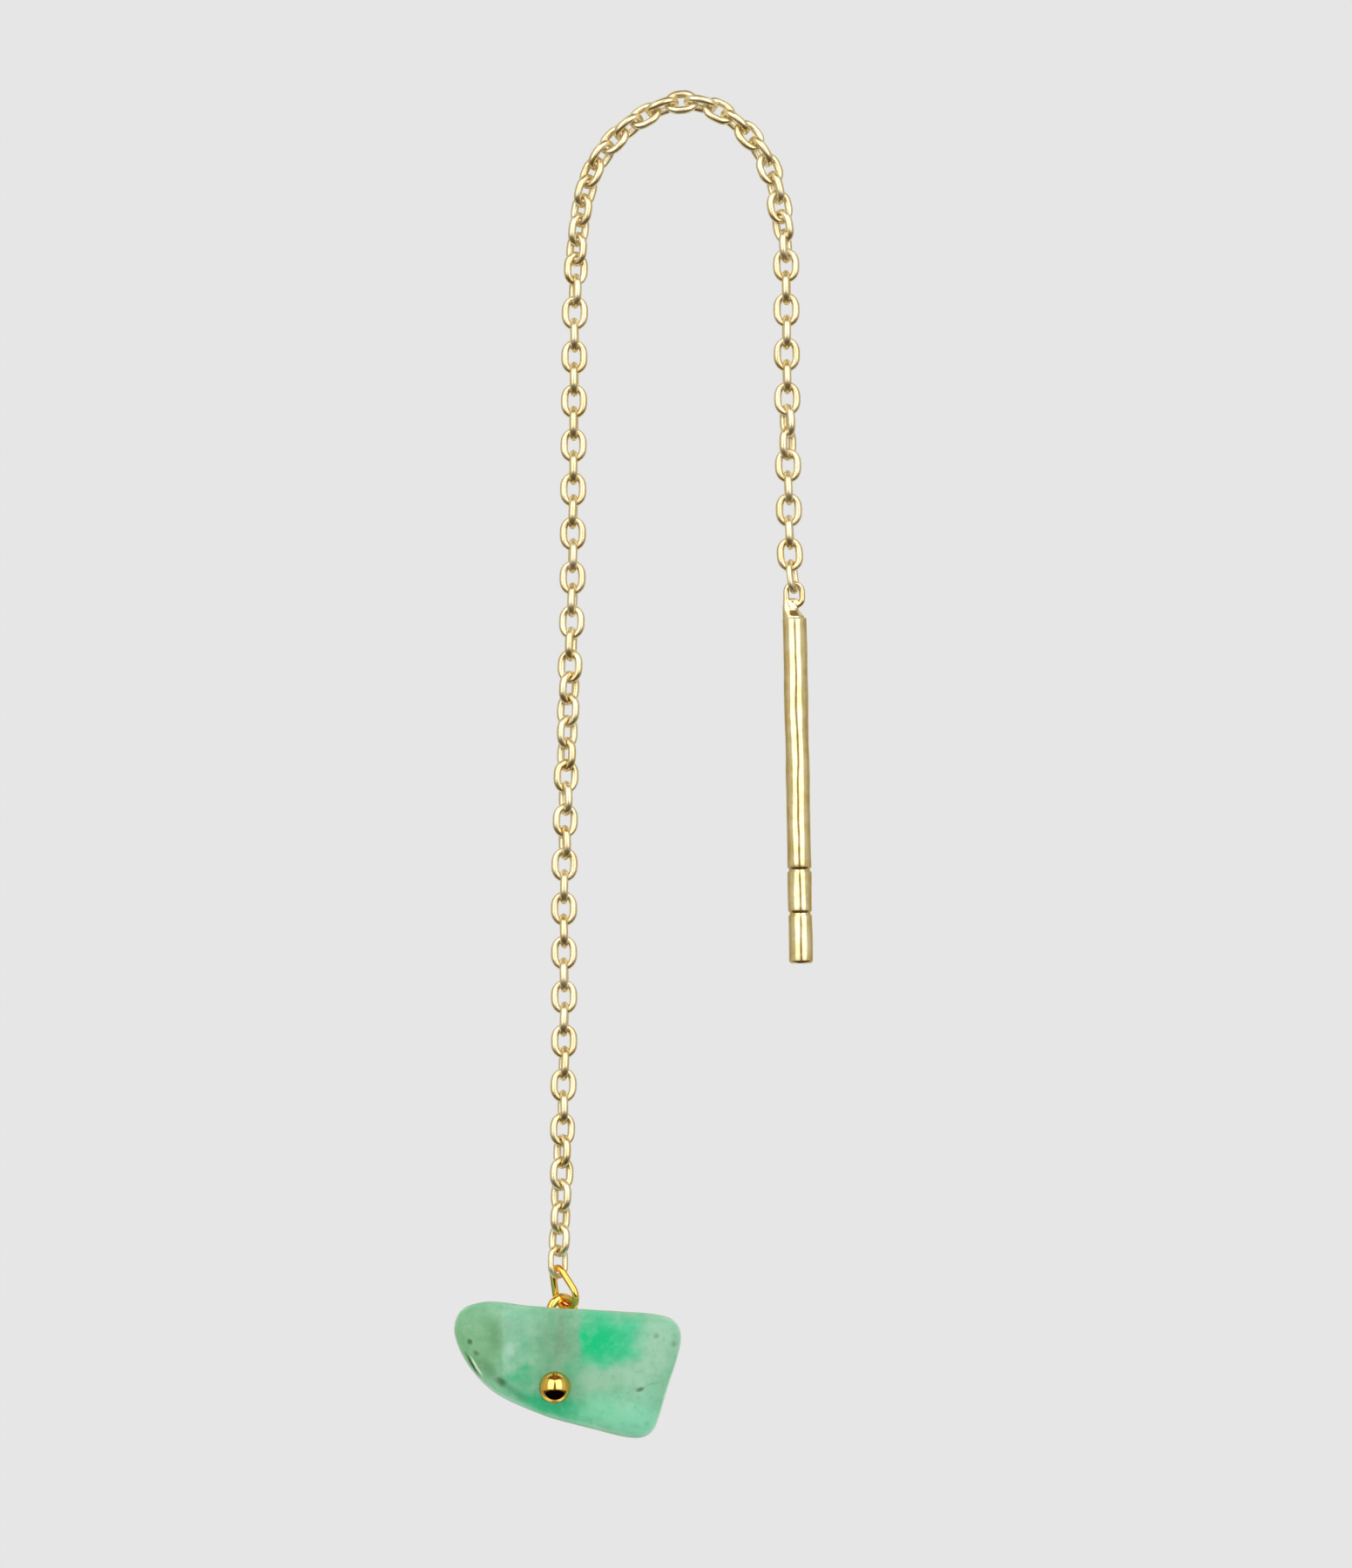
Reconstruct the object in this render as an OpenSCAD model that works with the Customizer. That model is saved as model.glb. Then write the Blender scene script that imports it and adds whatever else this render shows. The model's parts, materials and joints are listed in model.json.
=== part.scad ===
// Ear threader. A fine cable chain hangs in an arch through the ear. A straight
// threader bar hangs from one end, and a chip of green stone from the other.
// The stone is drilled from front to back and hangs on a ball-head pin, whose
// tail is bent up behind it into an eye. A teardrop link joins that eye to the
// chain.
//
// All sizes are in millimetres. The origin is the middle of the chain at the top
// of the arch, where it lies in the ear. X runs to the right, Z up, and the
// wearer's viewer looks along +Y, so the front is towards -Y.

/* [Chain] */
// Diameter of the space that the chain's links fill
chain_d = 1.05; // [1:0.05:1.2]
// Length of a link, outside
link_l = 1.23; // [1.2:0.01:1.3]
// Width of a link, outside
link_w = 0.99; // [0.95:0.01:1.05]
// Diameter of the wire of the links
link_wire = 0.24; // [0.2:0.01:0.26]
// Play between two rings that hang in each other
ring_gap = 0.04; // [0.03:0.01:0.05]

/* [Teardrop link] */
// Diameter of its wire
drop_wire = 0.26; // [0.22:0.01:0.26]
// Radius of its narrow upper bend, to the middle of the wire
drop_high_r = 0.32; // [0.31:0.01:0.36]
// Radius of its wide lower bend, to the middle of the wire
drop_low_r = 0.56; // [0.52:0.01:0.58]
// Distance between the middles of its two bends
drop_l = 0.74; // [0.66:0.01:0.78]
// Angle from the picture plane, its right side coming forward
drop_turn = 50; // [45:1:54]
// Angle in the picture plane by which it leans, its lower bend to the right
drop_lean = 20; // [10:1:26]
// Angle round its lower bend, from the foot to the left, at which the pin's eye hangs
drop_hold = 38; // [20:1:45]

/* [Head pin] */
// Diameter of the pin's wire
pin_wire = 0.34; // [0.3:0.01:0.4]
// Diameter of the ball on its front end
ball_d = 1.2; // [1:0.05:1.3]
// Radius of its eye, to the middle of the wire
eye_r = 0.5; // [0.46:0.01:0.52]
// Angle round the eye, from its top to the right, at which the teardrop link holds it
eye_hold = 35; // [0:1:45]
// Angle by which the eye turns out of the picture plane, its left side forward
eye_turn = 32; // [28:1:36]
// Radius of the bend behind the stone, to the middle of the wire
bend_r = 0.36; // [0.3:0.02:0.4]
// Length of the straight tail between that bend and the eye
tail_l = 1.99; // [1.9:0.01:2.1]
// Angle by which the tail leans forward over the stone
tail_lean = 8; // [6:1:9]
// Angle by which the tail leans to the right
tail_tilt = 5; // [3:1:8]

/* [Stone] */
// Thickness of the stone at mid height
stone_t = 2.3; // [2:0.1:2.6]
// Share by which it is thinner at the top edge and thicker at the bottom
stone_taper = 0.2; // [0.15:0.05:0.25]
// Diameter of the hole drilled through it
hole_d = 0.56; // [0.5:0.02:0.7]

/* [Threader bar] */
// Diameter of the bar
bar_d = 0.92; // [0.8:0.02:1]
// Length of the bar below its neck
bar_l = 13.1; // [11:0.1:15]
// Angle by which the bar hangs out of plumb, its lower end to the right
bar_lean = 1.1; // [0:0.1:3]
// Width of each of the two grooves near the lower end
groove_w = 0.14; // [0.1:0.02:0.2]
// Depth of those grooves
groove_depth = 0.06; // [0.04:0.01:0.1]
// Radius of the bends of the bar's eye, a long loop, to the middle of its wire
bar_eye_r = 0.3; // [0.3:0.01:0.32]
// Thickness of that wire
bar_eye_wire = 0.22; // [0.2:0.01:0.22]
// Length of the straight sides of that loop
bar_eye_straight = 0.24; // [0.2:0.02:0.3]
// Height from the bar's shoulder to the middle of the loop's lower bend
neck_h = 0.74; // [0.7:0.02:0.9]

/* [Hidden] */
$fn = 48;

CHAMPAGNE_GOLD = "#dcc78f";
YELLOW_GOLD = "#d9a838";
MINT_GREEN = "#7fc79c";

// Middles of the lower bends on which the two pendants hang
drop_top = [-4.93, 0, -44.49];
bar_top = [4.02, 0, -18.53];
// Middle of the teardrop's upper bend, a hair off the wire in it, since it leans
drop_at = [-4.9, 0.02, -44.48];
// Angles of the end links from the picture plane, right side backward
drop_end_turn = 46;
bar_end_turn = 74;
// Lean of the last link above the bar, its lower bend to the right
bar_end_lean = 7;

// Route of the chain's middle in the picture plane, from the stone's end over
// the arch to the bar's end
chain_route = [
  [-4.88, -43.2], [-4.8, -41], [-4.75, -38.5], [-4.7, -36], [-4.7, -33], [-4.7, -30], [-4.65, -27],
  [-4.6, -24.5], [-4.5, -22], [-4.4, -19.5], [-4.37, -17], [-4.35, -14], [-4.32, -11], [-4.3, -8.5],
  [-4.25, -6.2], [-4.2, -5.3], [-4.1, -4.5], [-3.95, -3.65], [-3.72, -2.85], [-3.35, -2.15],
  [-2.85, -1.5], [-2.25, -0.95], [-1.55, -0.48], [-0.8, -0.13], [0, 0], [0.8, -0.18], [1.5, -0.55],
  [2.1, -1.05], [2.6, -1.65], [3, -2.35], [3.27, -3.1], [3.45, -3.9], [3.6, -4.75], [3.7, -5.7],
  [3.72, -7.5], [3.74, -10], [3.77, -12.5], [3.8, -14.7], [3.83, -16], [3.86, -17.26]
];
chain_sides = 8;
// Points of the route half way up the drop's strand, and where the arch begins and ends
drop_half = 7;
arch_start = 14;
arch_end = 33;

// Outline of the stone from the middle of its drilled hole, clockwise from its
// left tip
stone_outline = [
  [-3.82, 2.23], [-3.57, 2.88], [-2.92, 3.18], [-2.2, 3.23], [-1.1, 3.08], [0.3, 2.98],
  [1.7, 2.9], [3, 2.83], [3.9, 2.73], [4.48, 2.53], [4.78, 1.98], [4.63, 1.08],
  [4.28, 0.03], [3.98, -1.02], [3.73, -1.62], [3.28, -1.92], [2.5, -1.87], [1.3, -1.57],
  [-0.1, -1.2], [-1.4, -0.7], [-2.4, -0.14], [-3.2, 0.68], [-3.67, 1.53]
];
stone_middle = [0.7, 0.75];
stone_h = 5.1;
// Squareness of the stone's edge in section: 2 is round, larger is squarer
front_square = 3.4;
back_square = 2.5;
// How finely the outline and the section are stepped, the section in degrees
outline_steps = 3;
section_step = 10;

// Depth of the ball's middle before the stone's edge line, and of the start of
// the wire's bend behind it
ball_out = 1.76;
bend_out = 1.16;
// A bend flattens its wire, so it is a hair wider than the straight stretches,
// which run a little way into it
pin_leg = pin_wire - 0.02;
drop_leg = drop_wire - 0.02;
leg_overlap = 0.03;

// Distances along the bar from its shoulder to its grooves, and its end's rounding
grooves = [9.55, 11.2];
end_round = 0.12;

// The neck's radius where it leaves the bar and where it meets the eye, how far
// its foot is sunk in the bar, and how far it stands to the left of the middle
neck_low_r = 0.38;
neck_high_r = 0.15;
neck_sunk = 0.04;
neck_left = 0.06;

// Worked out from the values above
link_r = (link_w - link_wire) / 2;
link_straight = link_l - link_w;
leg_angle = asin((drop_low_r - drop_high_r) / drop_l);
bar_eye_hole_r = bar_eye_r - bar_eye_wire / 2;
bar_eye_drop = bar_eye_hole_r - link_wire / 2 - ring_gap;

function about_x(v, a) = [v.x, v.y * cos(a) - v.z * sin(a), v.y * sin(a) + v.z * cos(a)];
function about_y(v, a) = [v.x * cos(a) + v.z * sin(a), v.y, v.z * cos(a) - v.x * sin(a)];
function about_z(v, a) = [v.x * cos(a) - v.y * sin(a), v.x * sin(a) + v.y * cos(a), v.z];

// A place given from the middle of the teardrop link's upper bend
function from_drop(v) = drop_at + about_y(about_z(v, -drop_turn), -drop_lean);

// Where the eye hangs, the middle of the wire of the teardrop's lower bend
hold_at = from_drop(
  -drop_low_r * [sin(drop_hold), 0, cos(drop_hold)] - [0, 0, drop_l]
);

// Where the bend behind the stone ends and the tail begins, from the hole's middle
bend_end = [0, bend_out + bend_r * cos(tail_lean), bend_r * (1 + sin(tail_lean))];

// A place given from the eye's middle, as seen from the middle of the drilled hole
function from_eye(v) =
  about_y(
    bend_end + about_x([0, 0, tail_l + eye_r] + about_z(v, eye_turn), tail_lean),
    tail_tilt
  );

// The teardrop's wire lies in the eye near the top, and the pin and the stone hang by it
eye_middle = from_eye([0, 0, 0]);
eye_normal = from_eye([0, 1, 0]) - eye_middle;
eye_rise = [0, 0, 1] - eye_normal * eye_normal.z;
eye_up = eye_rise / norm(eye_rise);
hold_r = eye_r - (drop_wire + pin_wire) / 2 - ring_gap;
pendant_at = hold_at - eye_middle
  - hold_r * (cos(eye_hold) * eye_up + sin(eye_hold) * cross(eye_normal, eye_up));

// An arc of round wire in the XY plane, from the X axis towards Y
module wire_arc(middle_r, wire_d, angle) {
  rotate_extrude(angle = angle)
    translate([middle_r, 0])
      circle(d = wire_d);
}

// A straight wire in the XY plane that starts at a point and runs at an angle
module wire_leg(start, angle, wire_d, length) {
  translate([start.x, start.y, 0])
    rotate([0, 0, angle])
      rotate([0, 90, 0])
        cylinder(d = wire_d, h = length);
}

// A wire loop with round ends and straight sides, upright in the picture plane
module oval_loop(end_r, wire_d, straight) {
  rotate([90, 0, 0])
    for (half = [0, 180])
      rotate([0, 0, half]) {
        translate([0, straight / 2, 0])
          wire_arc(end_r, wire_d, 180);
        wire_leg([end_r, -straight / 2], 90, wire_d, straight);
      }
}

// An end link whose lower bend's middle is the given point
module end_link(low_point, turn, lean) {
  translate(low_point)
    rotate([0, -lean, 0])
      rotate([0, 0, turn])
        translate([0, 0, (link_l - link_wire) / 2])
          oval_loop(link_r, link_wire, link_straight);
}

function unit(v) = v / norm(v);

// Tangent of the route at a point, from its two neighbours
function route_tangent(i) =
  unit(chain_route[min(i + 1, len(chain_route) - 1)] - chain_route[max(i - 1, 0)]);

// Points of the chain's outer skin round one point of the route
function chain_ring(i) =
  let (p = chain_route[i], t = route_tangent(i), r = chain_d / 2)
    [for (k = [0 : chain_sides - 1])
      let (a = 360 * k / chain_sides)
        [p.x - r * cos(a) * t.y, r * sin(a), p.y + r * cos(a) * t.x]];

// The quads between rings of points that follow each other, and the two end faces
function tube_faces(rings, sides) = concat(
  [[for (k = [0 : sides - 1]) k]],
  [for (i = [0 : rings - 2], k = [0 : sides - 1])
    let (a = i * sides, b = a + sides, next = (k + 1) % sides)
      [a + k, b + k, b + next, a + next]],
  [[for (k = [sides - 1 : -1 : 0]) (rings - 1) * sides + k]]
);

// The chain's outer skin between two points of the route
module chain_stretch(first, last) {
  color(CHAMPAGNE_GOLD)
    polyhedron(
      points = [for (i = [first : last]) each chain_ring(i)],
      faces = tube_faces(last - first + 1, chain_sides),
      convexity = 6
    );
}

module chain_drop_low() {
  chain_stretch(0, drop_half);
}

module chain_drop_high() {
  chain_stretch(drop_half, arch_start);
}

module chain_arch() {
  chain_stretch(arch_start, arch_end);
}

module chain_bar_side() {
  chain_stretch(arch_end, len(chain_route) - 1);
}

module end_link_drop() {
  color(CHAMPAGNE_GOLD)
    end_link(drop_top, drop_end_turn, 0);
}

module end_link_bar() {
  color(CHAMPAGNE_GOLD)
    end_link(bar_top, bar_end_turn, bar_end_lean);
}

module drop_link() {
  color(YELLOW_GOLD)
    translate(drop_at)
      rotate([0, -drop_lean, 0])
        rotate([0, 0, -drop_turn])
          rotate([90, 0, 0]) {
            rotate([0, 0, leg_angle])
              wire_arc(drop_high_r, drop_wire, 180 - 2 * leg_angle);
            translate([0, -drop_l, 0])
              rotate([0, 0, 180 - leg_angle])
                wire_arc(drop_low_r, drop_wire, 180 + 2 * leg_angle);
            for (side = [-1, 1])
              wire_leg(
                drop_high_r * [side * cos(leg_angle), sin(leg_angle)]
                  + leg_overlap * [-side * sin(leg_angle), cos(leg_angle)],
                -90 + side * leg_angle,
                drop_leg,
                drop_l * cos(leg_angle) + 2 * leg_overlap
              );
          }
}

module head_pin() {
  color(YELLOW_GOLD)
    translate(pendant_at)
      rotate([0, tail_tilt, 0]) {
        rotate([90, 0, 90]) {
          translate([-ball_out, 0, 0])
            rotate([0, 90, 0])
              sphere(d = ball_d);
          wire_leg([-ball_out, 0], 0, pin_leg, ball_out + bend_out + leg_overlap);
          translate([bend_out, bend_r, 0])
            rotate([0, 0, -90])
              wire_arc(bend_r, pin_wire, 90 + tail_lean);
        }
        translate(bend_end)
          rotate([tail_lean, 0, 0]) {
            translate([0, 0, -leg_overlap])
              cylinder(d = pin_leg, h = tail_l + leg_overlap);
            translate([0, 0, tail_l + eye_r])
              rotate([90, 0, eye_turn])
                wire_arc(eye_r, pin_wire, 360);
          }
      }
}

// A point on a smooth curve between p1 and p2, where t runs from 0 to 1
function curve_point(p0, p1, p2, p3, t) =
  p1 + (p2 - p0) * t / 2 + (2 * p0 - 5 * p1 + 4 * p2 - p3) * t * t / 2
  + (3 * p1 - p0 - 3 * p2 + p3) * t * t * t / 2;

// The stone's outline as a closed smooth curve
function stone_edge() =
  let (p = stone_outline, n = len(stone_outline))
    [for (i = [0 : n - 1], s = [0 : outline_steps - 1])
      curve_point(p[(i + n - 1) % n], p[i], p[(i + 1) % n], p[(i + 2) % n], s / outline_steps)];

// A point of the stone's skin. The section angle runs from -90 at the middle of
// the front face over 0 at the edge line to 90 at the middle of the back face.
function stone_point(edge, a) =
  let (
    square = a < 0 ? front_square : back_square,
    reach = pow(cos(a), 2 / square),
    depth = sign(a) * pow(abs(sin(a)), 2 / square),
    x = stone_middle.x + (edge.x - stone_middle.x) * reach,
    z = stone_middle.y + (edge.y - stone_middle.y) * reach,
    half = stone_t / 2 * (1 - stone_taper * (z - stone_middle.y) / (stone_h / 2))
  )
    [x, half * depth, z];

module stone_blank() {
  edge = stone_edge();
  angles = [for (a = [section_step - 90 : section_step : 90 - section_step]) a];
  sides = len(edge);
  polyhedron(
    points = [for (a = angles, p = edge) stone_point(p, a)],
    faces = tube_faces(len(angles), sides),
    convexity = 4
  );
}

module stone() {
  color(MINT_GREEN)
    translate(pendant_at)
      difference() {
        stone_blank();
        rotate([90, 0, 0])
          cylinder(d = hole_d, h = 2 * stone_t, center = true);
      }
}

// Outline of half the bar, from its shoulder down: radius first, then height
function bar_profile() =
  let (r = bar_d / 2) concat(
    [[0, 0], [r, 0]],
    [for (g = grooves, k = [-1, 0, 1]) [r - (k == 0 ? groove_depth : 0), -g - k * groove_w / 2]],
    [for (a = [0 : 18 : 90])
      [r - end_round * (1 - cos(a)), -bar_l + end_round * (1 - sin(a))]],
    [[0, -bar_l]]
  );

module threader_bar() {
  neck_foot = -neck_h - neck_sunk;
  neck_tip = -bar_eye_r - bar_eye_wire / 4;
  color(CHAMPAGNE_GOLD)
    translate(bar_top - [0, 0, bar_eye_drop + bar_eye_straight])
      rotate([0, -bar_lean, 0]) {
        translate([0, 0, bar_eye_straight / 2])
          oval_loop(bar_eye_r, bar_eye_wire, bar_eye_straight);
        translate([-neck_left, 0, neck_foot])
          cylinder(r1 = neck_low_r, r2 = neck_high_r, h = neck_tip - neck_foot);
        translate([0, 0, -neck_h])
          rotate_extrude()
            polygon(bar_profile());
      }
}

chain_drop_low();
chain_drop_high();
chain_arch();
chain_bar_side();
end_link_drop();
end_link_bar();
drop_link();
head_pin();
stone();
threader_bar();
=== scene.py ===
# %% [markdown]
# # A chain earring with a threader bar and a green stone
#
# This lesson dresses a finished CAD model of an ear threader. The earring is a fine
# cable chain hung in an arch, with a straight gold bar on one end and a chip of
# polished green stone on the other. The CAD model gives every piece its place, so
# the frame is loaded first and each new piece is built right where the CAD has it.

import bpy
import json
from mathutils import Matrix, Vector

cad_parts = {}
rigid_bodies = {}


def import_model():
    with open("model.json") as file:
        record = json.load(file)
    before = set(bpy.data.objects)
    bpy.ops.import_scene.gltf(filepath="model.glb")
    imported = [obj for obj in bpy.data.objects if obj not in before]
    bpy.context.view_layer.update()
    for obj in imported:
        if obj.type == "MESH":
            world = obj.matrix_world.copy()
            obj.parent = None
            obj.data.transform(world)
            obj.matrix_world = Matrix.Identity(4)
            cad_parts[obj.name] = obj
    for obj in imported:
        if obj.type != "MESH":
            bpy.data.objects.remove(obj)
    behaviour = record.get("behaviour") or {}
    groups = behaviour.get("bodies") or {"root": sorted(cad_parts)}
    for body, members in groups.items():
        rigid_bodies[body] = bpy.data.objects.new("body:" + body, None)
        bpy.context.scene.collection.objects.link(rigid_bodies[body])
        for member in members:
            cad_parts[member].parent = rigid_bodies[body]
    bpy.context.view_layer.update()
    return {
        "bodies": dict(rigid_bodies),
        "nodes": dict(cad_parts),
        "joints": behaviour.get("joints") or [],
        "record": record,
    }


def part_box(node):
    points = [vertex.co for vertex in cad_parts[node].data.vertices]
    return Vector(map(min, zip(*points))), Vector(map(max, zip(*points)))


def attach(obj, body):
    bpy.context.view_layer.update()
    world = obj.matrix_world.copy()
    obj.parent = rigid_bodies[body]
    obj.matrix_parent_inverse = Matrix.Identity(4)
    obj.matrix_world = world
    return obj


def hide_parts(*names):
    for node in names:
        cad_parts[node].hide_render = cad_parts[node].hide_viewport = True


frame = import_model()

# %% Modules and the unit
import json
import math
import random

import bmesh
import bpy
from mathutils import Matrix, Vector, noise

MM = 0.001
# Points closer than this, in millimetres, are one point
SAME_PLACE = 0.0001

# %% [markdown]
# ## The camera
#
# Small jewellery is photographed with a long lens from straight in front, so that
# near and far parts keep the same size. The camera looks along +Y at the plane of
# the arch, and its distance follows from the height that the frame should show.

# %% Camera
FRAME_HEIGHT = 59.4 * MM
FRAME_MIDDLE = Vector((-0.46, 0, -25.84)) * MM
LENS = 1000
SENSOR = 36

camera_data = bpy.data.cameras.new("camera")
camera_data.lens = LENS
camera_data.sensor_width = SENSOR
camera_data.clip_start = 0.02
camera = bpy.data.objects.new("camera", camera_data)
bpy.context.scene.collection.objects.link(camera)
camera_distance = FRAME_HEIGHT * LENS / SENSOR
camera.location = FRAME_MIDDLE - Vector((0, camera_distance, 0))
camera.rotation_euler = (math.radians(90), 0, 0)
bpy.context.scene.camera = camera
print("Camera stands", round(1000 * camera_distance), "mm in front of the earring")

# %% [markdown]
# ## Colours and nodes
#
# Colours are written as the sRGB hex values that a paint program shows, and one
# function turns them into the linear numbers that Blender works with. One more
# function adds a node, sets what it needs and links its inputs, because every
# material and the studio light are made of nodes. The short functions after it are
# the three steps that come up all the time: a soft edge, a product and a blend.

# %% Helpers for colours and nodes
def linear(hex_text):
    """An sRGB hex colour as linear red, green, blue and alpha."""
    parts = [int(hex_text[k:k + 2], 16) / 255 for k in (1, 3, 5)]
    return [c / 12.92 if c < 0.04045 else ((c + 0.055) / 1.055) ** 2.4 for c in parts] + [1]


def add_node(tree, kind, inputs=None, stops=None, **settings):
    """Adds a node. Inputs take a value or another node's output, stops fill a colour ramp."""
    made = tree.nodes.new("ShaderNode" + kind)
    for name, value in settings.items():
        setattr(made, name, value)
    for key, value in (inputs or {}).items():
        if isinstance(value, bpy.types.NodeSocket):
            tree.links.new(value, made.inputs[key])
        else:
            made.inputs[key].default_value = value
    if stops:
        ramp = made.color_ramp.elements
        while len(ramp) < len(stops):
            ramp.new(0.5)
        for element, (position, colour) in zip(ramp, stops):
            element.position = position
            element.color = linear(colour)
    return made


def share_of(tree, value, edge, full=1, smooth=False):
    """Rises from nothing to full while a value goes from an edge's first number to its second."""
    return add_node(
        tree, "MapRange", {0: value, 1: edge[0], 2: edge[1], 3: 0, 4: full},
        interpolation_type="SMOOTHSTEP" if smooth else "LINEAR",
    ).outputs[0]


def times(tree, one, other):
    """The product of two shares."""
    return add_node(tree, "Math", {0: one, 1: other}, operation="MULTIPLY").outputs[0]


def blend(tree, share, under, over):
    """Lays a colour over another by a share. The upper one may be a hex colour."""
    if isinstance(over, str):
        over = linear(over)
    return add_node(tree, "Mix", {0: share, 6: under, 7: over}, data_type="RGBA").outputs[2]


def new_material(name):
    """An empty material and its node tree."""
    material = bpy.data.materials.new(name)
    material.use_nodes = True
    material.node_tree.nodes.clear()
    return material, material.node_tree


def add_surface(tree, kind, inputs):
    """Adds a shader and makes it the material's surface."""
    shader = add_node(tree, kind, inputs)
    add_node(tree, "OutputMaterial", {"Surface": shader.outputs[0]})


# %% Helpers for meshes and objects
def new_mesh(name, shape):
    """Turns a bmesh into a mesh and frees it."""
    mesh = bpy.data.meshes.new(name)
    shape.to_mesh(mesh)
    shape.free()
    return mesh


def new_object(name, shape, material=None):
    """Turns a bmesh into an object at the origin."""
    mesh = new_mesh(name, shape)
    if material:
        mesh.materials.append(material)
    made = bpy.data.objects.new(name, mesh)
    bpy.context.scene.collection.objects.link(made)
    return made


# %% [markdown]
# ## The studio
#
# Polished gold has no colour of its own that the eye could find: it shows the room,
# tinted. So the room is designed first, and only mirror reflections see it. Two tall
# soft boxes stand left and right of the camera and give each ball and bar two bright
# windows, with a strip of brown wall between them. In front and low down the room is
# brown, its ceiling and sides are dim, and two bright windows stand behind the
# earring, which draw a pale rim round every wire. The stone is lit as in a light
# tent: matt light comes evenly from all round, a little less from below.

# %% Studio room
BACKGROUND = "#e6e6e6"
TENT = [(0, "#e9e9e7"), (1, "#ffffff")]
WALLS = [(0, "#cdc6b3"), (0.3, "#bdb59f"), (0.55, "#b6ae98"), (1, "#b2aa93")]
CEILING = "#6e5a3a"
STRIP = "#7c643a"
WINDOWS = "#fdfaf2"
LOWER_FRONT = "#55431f"
# Edges in the room, as directions from -1 to 1: to the back, up, or to either side
FRONT_TO_BACK = (-0.25, 0.75)
FRONT_EDGE = (0.3, 0.12)
CEILING_EDGE = (0.68, 0.9)
LOWER_EDGE = (-0.22, -0.36)
STRIP_EDGE = (0.19, 0.1)
WINDOWS_START = (0.15, 0.35)
WINDOWS_INNER = (0.14, 0.2)
WINDOWS_OUTER = (0.64, 0.56)

world = bpy.data.worlds.new("studio room")
world.use_nodes = True
bpy.context.scene.world = world
room = world.node_tree
room.nodes.clear()
direction = add_node(room, "TexCoord").outputs["Generated"]
sideways, backward, upward = add_node(room, "SeparateXYZ", {0: direction}).outputs
beside = add_node(room, "Math", {0: sideways}, operation="ABSOLUTE").outputs[0]
in_front = share_of(room, backward, FRONT_EDGE, smooth=True)
depth = share_of(room, backward, FRONT_TO_BACK, smooth=True)
room_light = add_node(room, "ValToRGB", {0: depth}, stops=WALLS).outputs[0]
above = share_of(room, upward, CEILING_EDGE, smooth=True)
room_light = blend(room, above, room_light, CEILING)
between_boxes = times(room, share_of(room, beside, STRIP_EDGE), in_front)
room_light = blend(room, between_boxes, room_light, STRIP)
in_windows = times(room, share_of(room, beside, WINDOWS_INNER), share_of(room, beside, WINDOWS_OUTER))
in_windows = times(room, in_windows, share_of(room, backward, WINDOWS_START))
room_light = blend(room, in_windows, room_light, WINDOWS)
low_in_front = times(room, share_of(room, upward, LOWER_EDGE, smooth=True), in_front)
room_light = blend(room, low_in_front, room_light, LOWER_FRONT)
# Mirror rays see the room, matt surfaces see the tent, and the camera sees the background
height = share_of(room, upward, (-1, 1))
tent_light = add_node(room, "ValToRGB", {0: height}, stops=TENT).outputs[0]
ray = add_node(room, "LightPath").outputs
colour = blend(room, ray["Is Glossy Ray"], tent_light, room_light)
colour = blend(room, ray["Is Camera Ray"], colour, BACKGROUND)
background = add_node(room, "Background", {"Color": colour, "Strength": 1})
add_node(room, "OutputWorld", {"Surface": background.outputs[0]})
print("Studio room of", len(room.nodes), "nodes")

# %% Soft boxes
BOX_DISTANCE = 1.0
BOX_AZIMUTH = 32
BOX_ELEVATION = 22
BOX_WIDTH = 0.83
BOX_HEIGHT = 1.35
BOX_WATTS = 4.9


def soft_box(name, azimuth):
    """A tall area light at an angle round the earring, facing it. Only reflections show it."""
    data = bpy.data.lights.new(name, "AREA")
    data.shape = "RECTANGLE"
    data.size = BOX_WIDTH
    data.size_y = BOX_HEIGHT
    data.energy = BOX_WATTS
    light = bpy.data.objects.new(name, data)
    bpy.context.scene.collection.objects.link(light)
    a, e = math.radians(azimuth), math.radians(BOX_ELEVATION)
    way = Vector((math.sin(a) * math.cos(e), -math.cos(a) * math.cos(e), math.sin(e)))
    light.location = FRAME_MIDDLE + way * BOX_DISTANCE
    light.rotation_euler = way.to_track_quat("Z", "Y").to_euler()
    for kind in ("camera", "diffuse", "transmission"):
        setattr(light, "visible_" + kind, False)
    return light


for side_name, side in (("left", -1), ("right", 1)):
    box = soft_box(f"soft box {side_name}", side * BOX_AZIMUTH)
    print(box.name, "at", [round(v, 2) for v in box.location])

# %% [markdown]
# The floor is a wide pale disc well below the earring. It shows only when the camera
# looks down, and the gold doesn't mirror it, so that the brown part of the room stays
# in the reflections.

# %% Floor
FLOOR_HEIGHT = -0.11
FLOOR_RADIUS = 0.6

material, tree = new_material("pale matt floor")
place = add_node(tree, "TexCoord").outputs["Object"]
grain = add_node(tree, "TexNoise", {"Vector": place, "Scale": 900, "Detail": 3}).outputs[0]
tone = add_node(tree, "ValToRGB", {0: grain}, stops=[(0.3, "#dcdcdb"), (0.7, "#e3e3e2")])
add_surface(tree, "BsdfPrincipled", {"Base Color": tone.outputs[0], "Roughness": 0.9})
floor_shape = bmesh.new()
bmesh.ops.create_circle(floor_shape, cap_ends=True, segments=96, radius=FLOOR_RADIUS)
bmesh.ops.translate(floor_shape, verts=floor_shape.verts, vec=(0, 0, FLOOR_HEIGHT))
floor = new_object("floor", floor_shape, material)
floor.visible_glossy = False
print("Floor", FLOOR_RADIUS, "m in radius")

# %% [markdown]
# A photographer puts a small black card near a shiny ball to give it a dark edge. This
# one lies a little below the stone and in front of it. Only mirror reflections see it,
# and it gives the pin's ball its black crescent.

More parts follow.
